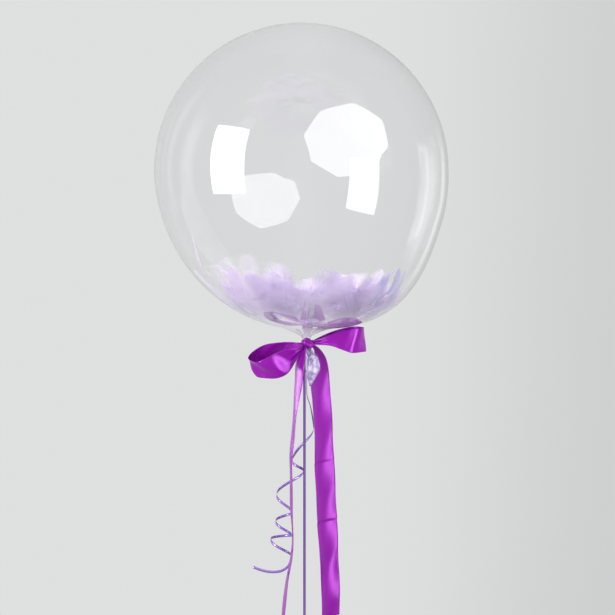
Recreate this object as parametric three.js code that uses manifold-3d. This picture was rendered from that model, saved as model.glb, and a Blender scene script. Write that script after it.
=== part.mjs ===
// A clear bubble balloon with a satin bow, floating on its taut ribbon tether.
// Millimetres, +Z up, the front faces -Y. The origin is the lowest point of the
// knotted loop at the end of the tether.

import * as THREE from 'three';
import Module from 'manifold-3d';

const wasm = await Module();
wasm.setup();

// Driving dimensions of the film

const BUBBLE_WIDTH = 560;
const BUBBLE_RADIUS = BUBBLE_WIDTH / 2;
const LOWER_REACH = 302; // centre to the lowest point of the round underside
const CENTRE = new THREE.Vector3(-6, 0, 875);
const TIE = new THREE.Vector3(3, -9, 560); // where the film is gathered into its neck
const FULLNESS = 0.052; // how far the lower right side swells past the round
const FULLNESS_SPAN = THREE.MathUtils.degToRad(70);
const SHOULDER = THREE.MathUtils.degToRad(168); // where the round turns in to the neck
const TIE_RADIUS = 9;
const NECK_RADIUS = 5.5;
const PLEATS = 9;
const FILM_SIDES = PLEATS * 6;
const SHOULDER_PLEAT = 1.6;
const SHOULDER_EASE = 22; // how long the underside keeps its slope before it turns in
const NECK_EASE_OUT = 7; // how far out and up the film comes in to the tie
const NECK_EASE_UP = 5;
const NECK_PLEAT = 0.6;
const CROWN = 0.03; // share of the way down at which the first ring of the round stands
const SLOPE_STEP = 0.02; // radians back up the round that give its slope at the shoulder
const ROUND_STEPS = 26;
const SHOULDER_STEPS = 5;
const GATHERED_STEPS = 12;

// Driving dimensions of the ribbons

const SATIN_THICKNESS = 1.6;
const BOW_LOOP_STEPS = 28;
const BOW_LOOP_COLUMNS = 3;
const TAIL_STEPS = 32;
const TAIL_COLUMNS = 2;
const KNOT_CENTRE = new THREE.Vector3(7, -22, 548);
const KNOT_SIZE = new THREE.Vector3(11.5, 9, 8.5);
const KNOT_SLANT = THREE.MathUtils.degToRad(35);
const BAND_CENTRE = new THREE.Vector3(5, -9.6, 547);
const BAND_INNER = 8.9;
const BAND_OUTER = 11.6;
const BAND_HEIGHT = 14;

const TETHER_WIDTH = 5;
const TETHER_THICKNESS = 2.4;
const TETHER_STEPS = 16;
const TETHER_SIDES = 8;
const WRAP_CENTRE = new THREE.Vector3(4.2, -9.1, 547);
const WRAP_INNER = 6.6;
const WRAP_OUTER = 8.4;
const WRAP_HEIGHT = 8;
const LOOP_WIDTH = 17; // outside, like the two sizes below it
const LOOP_HEIGHT = 24;
const LOOP_CORD = 3;
const LOOP_TURNS = 16;
const LOOP_SIDES = 6;
const LOOP_KNOT = new THREE.Vector3(4.4, 3.6, 4.2);
const LOOP_KNOT_Z = 23;

const CURL_STEPS = 44;
const CURL_SIDES = 10;

const GAP = 0.35; // left between two pieces that touch

// Helpers

const point = ([x, y, z]) => new THREE.Vector3(x, y, z);

function smoothCurve(points) {
  return new THREE.CatmullRomCurve3(points.map(point), false, 'centripetal');
}

function solid(vertices, triangles) {
  return new wasm.Manifold(new wasm.Mesh({
    numProp: 3,
    vertProperties: Float32Array.from(vertices.flatMap((v) => [v.x, v.y, v.z])),
    triVerts: Uint32Array.from(triangles.flat()),
  }));
}

// A closed skin over rings of points, each ring anticlockwise about the way they advance.
function loftedSolid(rings) {
  const sides = rings[0].length;
  const vertices = rings.flat();
  const triangles = [];
  for (let i = 0; i < rings.length - 1; i += 1) {
    for (let j = 0; j < sides; j += 1) {
      const a = i * sides + j;
      const b = i * sides + ((j + 1) % sides);
      triangles.push([a, b, b + sides], [a, b + sides, a + sides]);
    }
  }
  const middle = (ring) => ring
    .reduce((sum, v) => sum.add(v), new THREE.Vector3())
    .divideScalar(sides);
  const last = (rings.length - 1) * sides;
  const first = vertices.push(middle(rings[0])) - 1;
  const end = vertices.push(middle(rings[rings.length - 1])) - 1;
  for (let j = 0; j < sides; j += 1) {
    const next = (j + 1) % sides;
    triangles.push([first, next, j], [end, last + j, last + next]);
  }
  return solid(vertices, triangles);
}

// A closed skin over rings that meet again, such as a band round a neck.
function ringSolid(rings) {
  const sides = rings[0].length;
  const vertices = rings.flat();
  const triangles = [];
  rings.forEach((ring, i) => {
    const next = ((i + 1) % rings.length) * sides;
    for (let j = 0; j < sides; j += 1) {
      const k = (j + 1) % sides;
      const a = i * sides + j;
      const b = i * sides + k;
      triangles.push([a, b, next + k], [a, next + k, next + j]);
    }
  });
  return solid(vertices, triangles);
}

// A tube of any section along a curve. halfSizes(t) gives half its width and half its depth.
function tubeSolid(curve, steps, sides, halfSizes, across = new THREE.Vector3(1, 0, 0)) {
  const rings = [];
  for (let i = 0; i <= steps; i += 1) {
    const t = i / steps;
    const centre = curve.getPointAt(t);
    const along = curve.getTangentAt(t);
    const side = across.clone().addScaledVector(along, -across.dot(along)).normalize();
    const up = along.clone().cross(side);
    const [halfWidth, halfDepth] = halfSizes(t);
    const ring = [];
    for (let j = 0; j < sides; j += 1) {
      const turn = (j / sides) * 2 * Math.PI;
      ring.push(centre.clone()
        .addScaledVector(side, halfWidth * Math.cos(turn))
        .addScaledVector(up, halfDepth * Math.sin(turn)));
    }
    rings.push(ring);
  }
  return loftedSolid(rings);
}

function ellipsoidSolid(centre, radii, slant, sides = 12, rows = 8) {
  const rings = [];
  for (let i = 0; i < rows; i += 1) {
    const down = ((i + 0.5) / rows) * Math.PI;
    const ring = [];
    for (let j = 0; j < sides; j += 1) {
      const turn = (j / sides) * 2 * Math.PI;
      ring.push(new THREE.Vector3(
        -radii.x * Math.cos(down),
        radii.y * Math.sin(down) * Math.cos(turn),
        radii.z * Math.sin(down) * Math.sin(turn),
      ).applyAxisAngle(new THREE.Vector3(0, 1, 0), slant).add(centre));
    }
    rings.push(ring);
  }
  return loftedSolid(rings);
}

// A band of rounded section that stands round an upright axis.
function bandSolid(centre, inner, outer, height, turns = 18, sides = 6) {
  const rings = [];
  for (let i = 0; i < turns; i += 1) {
    const turn = (i / turns) * 2 * Math.PI;
    const outward = new THREE.Vector3(Math.cos(turn), Math.sin(turn), 0);
    const ring = [];
    for (let j = 0; j < sides; j += 1) {
      const round = ((j + 0.5) / sides) * 2 * Math.PI;
      ring.push(centre.clone()
        .addScaledVector(outward, (inner + outer) / 2 - ((outer - inner) / 2) * Math.cos(round))
        .add(new THREE.Vector3(0, 0, (height / 2) * Math.sin(round))));
    }
    rings.push(ring);
  }
  return ringSolid(rings);
}

// A strip of ribbon between two edges, given a thickness square to its face.
function stripSolid(upper, lower, steps, columns, thickness) {
  const upperEdge = smoothCurve(upper);
  const lowerEdge = smoothCurve(lower);
  const at = (i, j) => {
    const t = THREE.MathUtils.clamp(i / steps, 0, 1);
    return upperEdge.getPoint(t).lerp(lowerEdge.getPoint(t), j / columns);
  };
  const faceAt = (i, j) => {
    const along = at(i + 0.5, j).sub(at(i - 0.5, j));
    const down = at(i, columns).sub(at(i, 0));
    return along.cross(down).normalize();
  };
  const front = [];
  const back = [];
  for (let i = 0; i <= steps; i += 1) {
    for (let j = 0; j <= columns; j += 1) {
      const face = faceAt(i, j).multiplyScalar(thickness / 2);
      front.push(at(i, j).add(face));
      back.push(at(i, j).sub(face));
    }
  }
  const vertices = [...front, ...back];
  const shift = front.length;
  const triangles = [];
  const quad = (a, b, c, d) => triangles.push([a, b, c], [a, c, d]);
  const index = (i, j) => i * (columns + 1) + j;
  for (let i = 0; i < steps; i += 1) {
    for (let j = 0; j < columns; j += 1) {
      const corners = [index(i, j), index(i + 1, j), index(i + 1, j + 1), index(i, j + 1)];
      quad(...corners);
      quad(...corners.reverse().map((k) => k + shift));
    }
    const top = [index(i, 0), index(i + 1, 0)];
    const bottom = [index(i, columns), index(i + 1, columns)];
    quad(top[1], top[0], top[0] + shift, top[1] + shift);
    quad(bottom[0], bottom[1], bottom[1] + shift, bottom[0] + shift);
  }
  for (let j = 0; j < columns; j += 1) {
    const start = [index(0, j), index(0, j + 1)];
    const stop = [index(steps, j), index(steps, j + 1)];
    quad(start[0], start[1], start[1] + shift, start[0] + shift);
    quad(stop[1], stop[0], stop[0] + shift, stop[1] + shift);
  }
  return solid(vertices, triangles);
}

function joined(solids) {
  return solids.reduce((whole, next) => whole.add(next));
}

function namedMesh(name, body, colour, roughness, extra = {}) {
  const { vertProperties, triVerts } = body.getMesh();
  const geometry = new THREE.BufferGeometry();
  geometry.setAttribute('position', new THREE.BufferAttribute(Float32Array.from(vertProperties), 3));
  geometry.setIndex(new THREE.BufferAttribute(Uint32Array.from(triVerts), 1));
  geometry.computeVertexNormals();
  const material = new THREE.MeshStandardMaterial({ color: colour, roughness, metalness: 0, ...extra });
  const mesh = new THREE.Mesh(geometry, material);
  mesh.name = name;
  return mesh;
}

// The bubble: round above, drawn down to its tie below, and a gathered end under the tie

// The middle line of the gathered end, from the tie down to its tip.
const GATHERED_MIDDLE = smoothCurve([
  [3, -9, 560], [4, -9, 549], [6, -10, 538], [13, -14, 519],
  [16, -16, 502], [14, -16, 487], [11, -15, 467],
]);

// Half its width and half its depth as it opens out under the tie and closes to the tip.
const GATHERED_SIZE = smoothCurve([
  [TIE_RADIUS, TIE_RADIUS, 0], [NECK_RADIUS, NECK_RADIUS, 0], [6.6, 6.4, 0], [13.5, 9, 0],
  [16, 10, 0], [11, 8, 0], [2, 1.6, 0],
]);

function roundFilm(down, turn, growth) {
  const height = Math.cos(down) * (Math.cos(down) < 0 ? LOWER_REACH : BUBBLE_RADIUS);
  const width = Math.sin(down) * BUBBLE_RADIUS;
  const fromBottom = Math.PI - down;
  const inSpan = fromBottom < FULLNESS_SPAN;
  const swell = inSpan ? Math.sin((Math.PI * fromBottom) / FULLNESS_SPAN) ** 2 : 0;
  const side = ((1 + Math.cos(turn)) / 2) ** 2;
  const film = new THREE.Vector3(Math.cos(turn) * width, Math.sin(turn) * width, height);
  const reach = film.length();
  film.multiplyScalar(1 + FULLNESS * swell * side + growth / reach);
  const lean = Math.max(-height, 0) / (CENTRE.z - TIE.z);
  film.x += lean * (TIE.x - CENTRE.x);
  film.y += lean * (TIE.y - CENTRE.y);
  return film.add(CENTRE);
}

function gatheredFilm(t, turn, growth) {
  const middle = GATHERED_MIDDLE.getPoint(t);
  const size = GATHERED_SIZE.getPoint(t);
  const pleat = NECK_PLEAT * (size.x / NECK_RADIUS) * Math.cos(PLEATS * turn);
  return middle.add(new THREE.Vector3(
    (size.x + pleat + growth) * Math.cos(turn),
    (size.y + pleat + growth) * Math.sin(turn),
    0,
  ));
}

// From the round underside in to the neck, with pleats that deepen and fade again.
function shoulderFilm(t, turn, growth) {
  const start = roundFilm(SHOULDER, turn, growth);
  const before = roundFilm(SHOULDER - SLOPE_STEP, turn, growth);
  const end = gatheredFilm(0, turn, growth);
  const leave = start.clone().add(start.clone().sub(before).setLength(SHOULDER_EASE));
  const arrive = end.clone().add(new THREE.Vector3(
    NECK_EASE_OUT * Math.cos(turn),
    NECK_EASE_OUT * Math.sin(turn),
    NECK_EASE_UP,
  ));
  const film = new THREE.CubicBezierCurve3(start, leave, arrive, end).getPoint(t);
  film.z += SHOULDER_PLEAT * 4 * t * (1 - t) * Math.cos(PLEATS * turn);
  return film;
}

function filmSolid(growth = 0) {
  const stretches = [
    {
      steps: ROUND_STEPS,
      film: (t, turn) => roundFilm((CROWN + (1 - CROWN) * t) * SHOULDER, turn, growth),
    },
    { steps: SHOULDER_STEPS, film: (t, turn) => shoulderFilm(t, turn, growth) },
    { steps: GATHERED_STEPS, film: (t, turn) => gatheredFilm(t, turn, growth) },
  ];
  const rings = [];
  stretches.forEach(({ steps, film }, stretch) => {
    for (let i = stretch === 0 ? 0 : 1; i <= steps; i += 1) {
      const ring = [];
      for (let j = 0; j < FILM_SIDES; j += 1) {
        ring.push(film(i / steps, -(j / FILM_SIDES) * 2 * Math.PI));
      }
      rings.push(ring);
    }
  });
  return loftedSolid(rings);
}

// The tether: wrapped round the neck, straight down, and knotted into a loop

function tetherSolid(growth = 0) {
  const run = smoothCurve([
    [2.2, -1.8, 549], [1, -0.7, 530], [0, 0, 500], [0, 0, 260], [0, 0, LOOP_KNOT_Z],
  ]);
  const halfSizes = () => [TETHER_WIDTH / 2 + growth, TETHER_THICKNESS / 2 + growth];
  const wrap = bandSolid(
    WRAP_CENTRE,
    WRAP_INNER - growth,
    WRAP_OUTER + growth,
    WRAP_HEIGHT + 2 * growth,
  );
  const knot = ellipsoidSolid(
    new THREE.Vector3(0, 0, LOOP_KNOT_Z),
    LOOP_KNOT.clone().addScalar(growth),
    0,
  );
  const loopRings = [];
  for (let i = 0; i < LOOP_TURNS; i += 1) {
    const turn = (i / LOOP_TURNS) * 2 * Math.PI;
    const outward = new THREE.Vector3(Math.cos(turn), 0, Math.sin(turn));
    const middle = new THREE.Vector3(
      ((LOOP_WIDTH - LOOP_CORD) / 2) * Math.cos(turn),
      0,
      LOOP_HEIGHT / 2 + ((LOOP_HEIGHT - LOOP_CORD) / 2) * Math.sin(turn),
    );
    const ring = [];
    for (let j = 0; j < LOOP_SIDES; j += 1) {
      const round = (j / LOOP_SIDES) * 2 * Math.PI;
      ring.push(middle.clone()
        .addScaledVector(outward, (LOOP_CORD / 2) * Math.cos(round))
        .add(new THREE.Vector3(0, (LOOP_CORD / 2) * Math.sin(round), 0)));
    }
    loopRings.push(ring);
  }
  const line = tubeSolid(run, TETHER_STEPS, TETHER_SIDES, halfSizes);
  return joined([line, wrap, knot, ringSolid(loopRings)]);
}

// The curled end: a plain run from the neck, then one fat tube of the curl's outer size

const CURL_MIDDLE = smoothCurve([
  [6, 1.8, 543], [5, 4, 500], [4, 6, 470], [5, 9, 446], [12, 13, 424],
  [6, 26, 385], [-4, 36, 345], [-16, 40, 305], [-32, 40, 262], [-39, 40, 218],
  [-42, 40, 178], [-44, 40, 148], [-52, 38, 120], [-74, 34, 108], [-98, 30, 117],
]);
const CURL_SIZE = smoothCurve([
  [2.5, 0, 0], [2.5, 0, 0], [2.5, 0, 0], [2.5, 0, 0], [3, 0, 0],
  [13, 0, 0], [19, 0, 0], [19, 0, 0], [20, 0, 0], [19, 0, 0],
  [20, 0, 0], [20, 0, 0], [12, 0, 0], [4, 0, 0], [2.5, 0, 0],
]);

function curlSolid(growth = 0) {
  const rings = [];
  for (let i = 0; i <= CURL_STEPS; i += 1) {
    const t = i / CURL_STEPS;
    const middle = CURL_MIDDLE.getPoint(t);
    const along = CURL_MIDDLE.getTangent(t);
    const side = new THREE.Vector3(0, 1, 0).cross(along).normalize();
    const depth = along.clone().cross(side);
    const radius = CURL_SIZE.getPoint(t).x + growth;
    const ring = [];
    for (let j = 0; j < CURL_SIDES; j += 1) {
      const round = (j / CURL_SIDES) * 2 * Math.PI;
      ring.push(middle.clone()
        .addScaledVector(side, radius * Math.cos(round))
        .addScaledVector(depth, radius * Math.sin(round)));
    }
    rings.push(ring);
  }
  return loftedSolid(rings);
}

// The satin ribbon: a band and knot at the neck, two loops and two tails

// Each stretch lies between two edges. On a loop they are its upper and its lower edge, from
// the knot out and back. On a tail, which hangs, upper is the edge nearer the front.
const LEFT_LOOP = {
  upper: [
    [-2, -17, 549], [-41, 3, 549], [-74, 9, 545], [-98, 1, 531], [-108, -17, 518],
    [-90, -39, 513], [-69, -47, 522], [-42, -41, 534], [-2, -24, 546],
  ],
  lower: [
    [-2, -16, 543], [-36, 15, 512], [-64, 27, 499], [-80, 21, 489], [-82, 1, 479],
    [-68, -19, 479], [-52, -25, 483], [-30, -23, 497], [-2, -22, 540],
  ],
};
const RIGHT_LOOP = {
  upper: [
    [14, -23, 551], [41, -35, 561], [66, -41, 570], [90, -39, 576], [110, -25, 577],
    [112, -8, 578], [92, 7, 579], [60, 5, 572], [30, -8, 560], [12, -16, 551],
  ],
  lower: [
    [14, -23, 545], [49, -39, 543], [70, -47, 536], [92, -45, 529.5], [114, -29, 531],
    [117, -12, 532], [98, 6, 532], [66, 5, 540], [36, -6, 545], [12, -16, 545],
  ],
};
const LEFT_TAIL = {
  upper: [
    [3, -26, 543], [-1, -42, 509], [-4, -42, 470], [-10, -41, 439], [-16, -40, 405],
    [-19.5, -38, 362], [-23, -36, 322], [-22, -36, 231], [-22, -36, 151],
    [-31.5, -34, 91], [-39, -32, 12],
  ],
  lower: [
    [1, -20, 545], [-16, 2, 515], [-18.5, 6, 470], [-20, 8, 439], [-22.5, 9, 400],
    [-25, 11, 362], [-28, 13, 322], [-26, 14, 231], [-24, 14, 151],
    [-36.5, 14, 91], [-44, 13, 24],
  ],
};
const RIGHT_TAIL = {
  upper: [
    [13, -22, 543], [19, -9, 530], [16, 0, 510], [12, 1, 485], [12, 0, 462], [15.5, -1, 438],
    [19, -2, 362], [20, -2, 300], [24.5, -2, 205], [28, -2, 148],
    [31.5, -2, 105], [33, -2, 12],
  ],
  lower: [
    [16, -19, 547], [29, -4, 537], [40, 16, 520], [46, 28, 497], [49, 33, 470], [51, 34, 438],
    [55, 33, 362], [58, 32, 300], [62.5, 32, 205], [65, 32, 148],
    [67, 32, 105], [68, 32, 24],
  ],
};

function satinSolid() {
  const strip = ({ upper, lower }, steps, columns) => (
    stripSolid(upper, lower, steps, columns, SATIN_THICKNESS)
  );
  return joined([
    bandSolid(BAND_CENTRE, BAND_INNER, BAND_OUTER, BAND_HEIGHT),
    ellipsoidSolid(KNOT_CENTRE, KNOT_SIZE, KNOT_SLANT),
    strip(LEFT_LOOP, BOW_LOOP_STEPS, BOW_LOOP_COLUMNS),
    strip(RIGHT_LOOP, BOW_LOOP_STEPS, BOW_LOOP_COLUMNS),
    strip(LEFT_TAIL, TAIL_STEPS, TAIL_COLUMNS),
    strip(RIGHT_TAIL, TAIL_STEPS, TAIL_COLUMNS),
  ]);
}

const film = filmSolid();
const grownFilm = filmSolid(GAP);
const tether = tetherSolid().subtract(grownFilm);
const curl = curlSolid().subtract(grownFilm).subtract(tetherSolid(GAP));
const satin = satinSolid()
  .subtract(grownFilm)
  .subtract(tetherSolid(GAP))
  .subtract(curlSolid(GAP));

const balloon = new THREE.Group();
balloon.add(
  namedMesh('bubble', film, 0xe8e8ee, 0.05, { transparent: true, opacity: 0.3 }),
  namedMesh('satin_ribbon', satin, 0x9c14b4, 0.4),
  namedMesh('tether_ribbon', tether, 0x825cb2, 0.35),
  namedMesh('curled_ribbon', curl, 0x9a80cc, 0.35),
);

export default balloon;
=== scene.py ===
# %% [markdown]
# # A clear bubble balloon with a satin bow
#
# The balloon is one stretched envelope of clear film. It is gathered at the bottom, tied with
# narrow curling ribbon and dressed with a wide satin bow, and loose feathers lie in its
# underside. It floats, so the tether runs straight down to the loop that holds it.
#
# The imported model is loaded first. It fixes every size and place, and each mesh made below
# stands where one of its solids is.

# %% Load the frame
import math

import bpy
import numpy as np
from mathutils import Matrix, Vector


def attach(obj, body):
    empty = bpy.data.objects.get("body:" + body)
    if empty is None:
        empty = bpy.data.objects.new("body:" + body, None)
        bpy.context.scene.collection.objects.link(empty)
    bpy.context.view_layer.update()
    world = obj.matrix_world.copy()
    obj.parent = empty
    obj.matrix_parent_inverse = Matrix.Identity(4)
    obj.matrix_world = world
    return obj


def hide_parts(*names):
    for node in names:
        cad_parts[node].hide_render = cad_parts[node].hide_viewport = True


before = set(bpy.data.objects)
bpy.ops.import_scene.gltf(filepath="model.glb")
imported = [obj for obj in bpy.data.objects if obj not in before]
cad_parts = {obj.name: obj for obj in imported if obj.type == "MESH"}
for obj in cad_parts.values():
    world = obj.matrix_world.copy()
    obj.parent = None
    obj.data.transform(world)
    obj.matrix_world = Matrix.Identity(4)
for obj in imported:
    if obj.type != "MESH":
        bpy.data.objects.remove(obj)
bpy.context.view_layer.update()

BODY = "root"
MM = 0.001
print("nodes:", sorted(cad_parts))

# %% [markdown]
# ## Camera
#
# A portrait of a tall, light thing is taken from far away with a long lens, so that the round
# outline stays round and the hanging ribbons stay parallel. The camera is level, at half the
# height of what it sees, and looks along +Y.

# %% Camera
VIEW_TALL = 1.1734        # metres of the balloon's plane that the camera takes in
VIEW_CENTRE = (0.0057, 0.6153)
CAMERA_AWAY = 3.2
SENSOR = 36.0

camera_data = bpy.data.cameras.new("camera")
camera_data.sensor_width = SENSOR
camera_data.lens = SENSOR * CAMERA_AWAY / VIEW_TALL
camera = bpy.data.objects.new("camera", camera_data)
camera.location = (VIEW_CENTRE[0], -CAMERA_AWAY, VIEW_CENTRE[1])
camera.rotation_euler = (math.pi / 2, 0, 0)
bpy.context.collection.objects.link(camera)
bpy.context.scene.camera = camera
print("camera lens:", round(camera_data.lens, 1), "mm")

# %% [markdown]
# ## Shared ways of making meshes
#
# Ribbon never stretches, so it is best drawn by lines that run along it. Two tools are enough for all of it:
# a smooth line through a few listed points, and a sheet spanned over a grid of points and given a thickness.
# The alternative, modelling boxes and bending them with modifiers, hides the few numbers that matter.

# %% Smooth lines and thick grids
def spline(points, samples):
    """A smooth line through points, as a centripetal Catmull-Rom spline."""
    points = np.array(points, float)
    ends = [2 * points[0] - points[1]], [2 * points[-1] - points[-2]]
    padded = np.vstack([ends[0], points, ends[1]])
    line = []
    for place in np.linspace(0, len(points) - 1, samples):
        i = min(int(place), len(points) - 2)
        u = place - i
        a, b, c, d = padded[i:i + 4]
        ab, bc, cd = (max(np.linalg.norm(q - p), 1e-9) ** 0.5 for p, q in ((a, b), (b, c), (c, d)))
        leave = ((b - a) / ab - (c - a) / (ab + bc) + (c - b) / bc) * bc
        arrive = ((c - b) / bc - (d - b) / (bc + cd) + (d - c) / cd) * bc
        line.append((2 * u**3 - 3 * u**2 + 1) * b + (u**3 - 2 * u**2 + u) * leave
                    + (3 * u**2 - 2 * u**3) * c + (u**3 - u**2) * arrive)
    return np.array(line)


def unit(vectors):
    return vectors / np.maximum(np.linalg.norm(vectors, axis=-1, keepdims=True), 1e-12)


def grid_normals(grid):
    along = np.gradient(grid, axis=0)
    across = np.gradient(grid, axis=1)
    return unit(np.cross(along, across))


def thick_grid(grid, thickness, first_vertex=0):
    """Vertices, faces and uvs of a grid of points given a thickness, as one closed skin."""
    rows, columns = grid.shape[:2]
    offset = grid_normals(grid) * thickness / 2
    vertices = np.concatenate([(grid + offset).reshape(-1, 3), (grid - offset).reshape(-1, 3)])
    index = np.arange(rows * columns).reshape(rows, columns)
    other = index + rows * columns
    quads = []
    for i in range(rows - 1):
        for j in range(columns - 1):
            a, b, c, d = index[i, j], index[i + 1, j], index[i + 1, j + 1], index[i, j + 1]
            quads.append((a, b, c, d))
            quads.append((d + rows * columns, c + rows * columns, b + rows * columns, a + rows * columns))
    for i in range(rows - 1):
        quads.append((index[i + 1, 0], index[i, 0], other[i, 0], other[i + 1, 0]))
        quads.append((index[i, -1], index[i + 1, -1], other[i + 1, -1], other[i, -1]))
    for j in range(columns - 1):
        quads.append((index[0, j], index[0, j + 1], other[0, j + 1], other[0, j]))
        quads.append((index[-1, j + 1], index[-1, j], other[-1, j], other[-1, j + 1]))
    run = np.concatenate([[0], np.cumsum(np.linalg.norm(np.diff(grid[:, columns // 2], axis=0), axis=1))])
    u = np.repeat(run[:, None], columns, axis=1).reshape(-1)
    v = np.tile(np.linspace(0, 1, columns), rows)
    uvs = np.stack([np.tile(u, 2), np.tile(v, 2)], axis=1)
    return vertices, (np.array(quads) + first_vertex).tolist(), uvs


def make_mesh(name, vertices, faces, material, smooth=True, uvs=None):
    mesh = bpy.data.meshes.new(name)
    mesh.from_pydata(np.asarray(vertices).tolist(), [], faces)
    mesh.validate()
    if uvs is not None:
        layer = mesh.uv_layers.new(name="along")
        corners = np.empty(len(mesh.loops), dtype=np.int32)
        mesh.loops.foreach_get("vertex_index", corners)
        layer.data.foreach_set("uv", np.asarray(uvs, float)[corners].reshape(-1))
    mesh.polygons.foreach_set("use_smooth", [smooth] * len(mesh.polygons))
    mesh.materials.append(material)
    piece = bpy.data.objects.new(name, mesh)
    bpy.context.collection.objects.link(piece)
    return piece


def make_from_grids(name, grids, thickness, material, smooth=True):
    vertices, faces, uvs = [], [], []
    count = 0
    for grid in grids:
        more_vertices, more_faces, more_uvs = thick_grid(grid, thickness, count)
        vertices.append(more_vertices)
        faces.extend(more_faces)
        uvs.append(more_uvs)
        count += len(more_vertices)
    return make_mesh(name, np.concatenate(vertices), faces, material, smooth, np.concatenate(uvs))


def line_length(line):
    return float(np.linalg.norm(np.diff(line, axis=0), axis=1).sum())


def ribbon_grid(line, width_ways, width, columns=3):
    """The grid of a flat ribbon of one width that follows a line."""
    ways = unit(width_ways)
    shares = np.linspace(-0.5, 0.5, columns)
    return line[:, None, :] + ways[:, None, :] * shares[None, :, None] * width

# %% [markdown]
# ## Finishes made of nodes
#
# Each finish is a small tree of nodes round one main shader. Values that are the same all over
# the surface are typed on the shader itself, and only what changes over it comes from a node,
# so the finish survives an export.

# %% A helper for node trees
def new_material(name, **values):
    material = bpy.data.materials.new(name)
    material.use_nodes = True
    shader = material.node_tree.nodes["Principled BSDF"]
    for socket, value in values.items():
        shader.inputs[socket.replace("_", " ")].default_value = value
    return material, material.node_tree, shader


def add_node(tree, kind, **settings):
    node = tree.nodes.new(kind)
    for key, value in settings.items():
        if key in node.inputs:
            node.inputs[key].default_value = value
        else:
            setattr(node, key, value)
    return node


def object_noise(tree, **settings):
    """Noise laid over an object's own coordinates."""
    place = add_node(tree, "ShaderNodeTexCoord")
    noise = add_node(tree, "ShaderNodeTexNoise", **settings)
    tree.links.new(place.outputs["Object"], noise.inputs["Vector"])
    return noise.outputs["Fac"]


def ribbon_noise(tree, stretch, **settings):
    """Noise stretched along a ribbon's own uv map."""
    place = add_node(tree, "ShaderNodeUVMap", uv_map="along")
    mapping = add_node(tree, "ShaderNodeMapping", Scale=stretch)
    noise = add_node(tree, "ShaderNodeTexNoise", Scale=1.0, Roughness=0.6, **settings)
    tree.links.new(place.outputs["UV"], mapping.inputs["Vector"])
    tree.links.new(mapping.outputs["Vector"], noise.inputs["Vector"])
    return noise.outputs["Fac"]


def map_range(tree, value, start, stop, low, high, kind="LINEAR"):
    node = add_node(tree, "ShaderNodeMapRange", interpolation_type=kind)
    for socket, number in zip(("From Min", "From Max", "To Min", "To Max"), (start, stop, low, high)):
        node.inputs[socket].default_value = number
    tree.links.new(value, node.inputs["Value"])
    return node.outputs["Result"]


def maths(tree, operation, *sockets):
    node = add_node(tree, "ShaderNodeMath", operation=operation)
    for socket, into in zip(sockets, node.inputs):
        tree.links.new(socket, into)
    return node


def colour_ramp(tree, factor, stops):
    ramp = tree.nodes.new("ShaderNodeValToRGB")
    elements = ramp.color_ramp.elements
    while len(elements) < len(stops):
        elements.new(0.5)
    for element, (place, colour) in zip(elements, stops):
        element.position = place
        element.color = (*colour, 1)
    tree.links.new(factor, ramp.inputs["Fac"])
    return ramp.outputs["Color"]


def add_bump(tree, shader, height, strength, distance):
    bump = add_node(tree, "ShaderNodeBump", Strength=strength, Distance=distance)
    tree.links.new(height, bump.inputs["Height"])
    tree.links.new(bump.outputs["Normal"], shader.inputs["Normal"])

# %% [markdown]
# ## Curling ribbon
#
# Curling ribbon is a five millimetre strip of drawn plastic, and drawing it leaves fine lines
# along its length. The lines are noise stretched far along the strip, used both for a slight
# change of shade and for a very shallow bump.

# %% Curling ribbon finish
CURLING_WIDTH = 5 * MM
CURLING_THICKNESS = 0.3 * MM


def curling_ribbon_material():
    material, tree, shader = new_material("curling_ribbon", Roughness=0.22, Specular_IOR_Level=0.8,
                                          Coat_Weight=1.0, Coat_Roughness=0.07)
    lines = ribbon_noise(tree, (14, 9, 1), Detail=4.0)
    shade = colour_ramp(tree, lines,
                        [(0.3, (0.15, 0.055, 0.34)), (0.55, (0.22, 0.095, 0.44)), (0.75, (0.31, 0.17, 0.55))])
    tree.links.new(shade, shader.inputs["Base Color"])
    add_bump(tree, shader, lines, 0.15, 0.0003)
    return material


CURLING_RIBBON = curling_ribbon_material()
print("made", CURLING_RIBBON.name)

# %% [markdown]
# ## The tether
#
# The tether is tied round the neck, runs straight down because the balloon pulls on it, and
# ends in an overhand knot and a loop that goes over whatever holds it. A curve with a bevel
# would make a round cord, and this is a flat one, so the strip is laid along a line. It faces
# the front on the way down and turns on edge for the loop.

# %% Tether
LOOP_HALF_WIDTH = 7 * MM
LOOP_MIDDLE = 12 * MM
LOOP_HALF_HEIGHT = 10.5 * MM
KNOT_HEIGHT = 23 * MM
RUN_STEPS = 90
LOOP_STEPS = 40
TETHER_RUN = [(2.2, -1.8, 549), (1, -0.7, 530), (0, 0, 500), (0, 0, 440), (0, 0, 380), (0, 0, 320),
              (0, 0, 260), (0, 0, 200), (0, 0, 140), (0, 0, 80), (0, 0, 40), (0, 0, 23)]


def tether_line():
    run = spline(np.array(TETHER_RUN) * MM, RUN_STEPS)
    turn = np.radians(np.linspace(90, 450, LOOP_STEPS))
    loop = np.stack([LOOP_HALF_WIDTH * np.cos(turn), np.zeros(LOOP_STEPS),
                     LOOP_MIDDLE + LOOP_HALF_HEIGHT * np.sin(turn)], axis=1)
    return run, loop[1:-1]


GROOVE_DEPTH = 0.09       # share of the knot's radius


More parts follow.
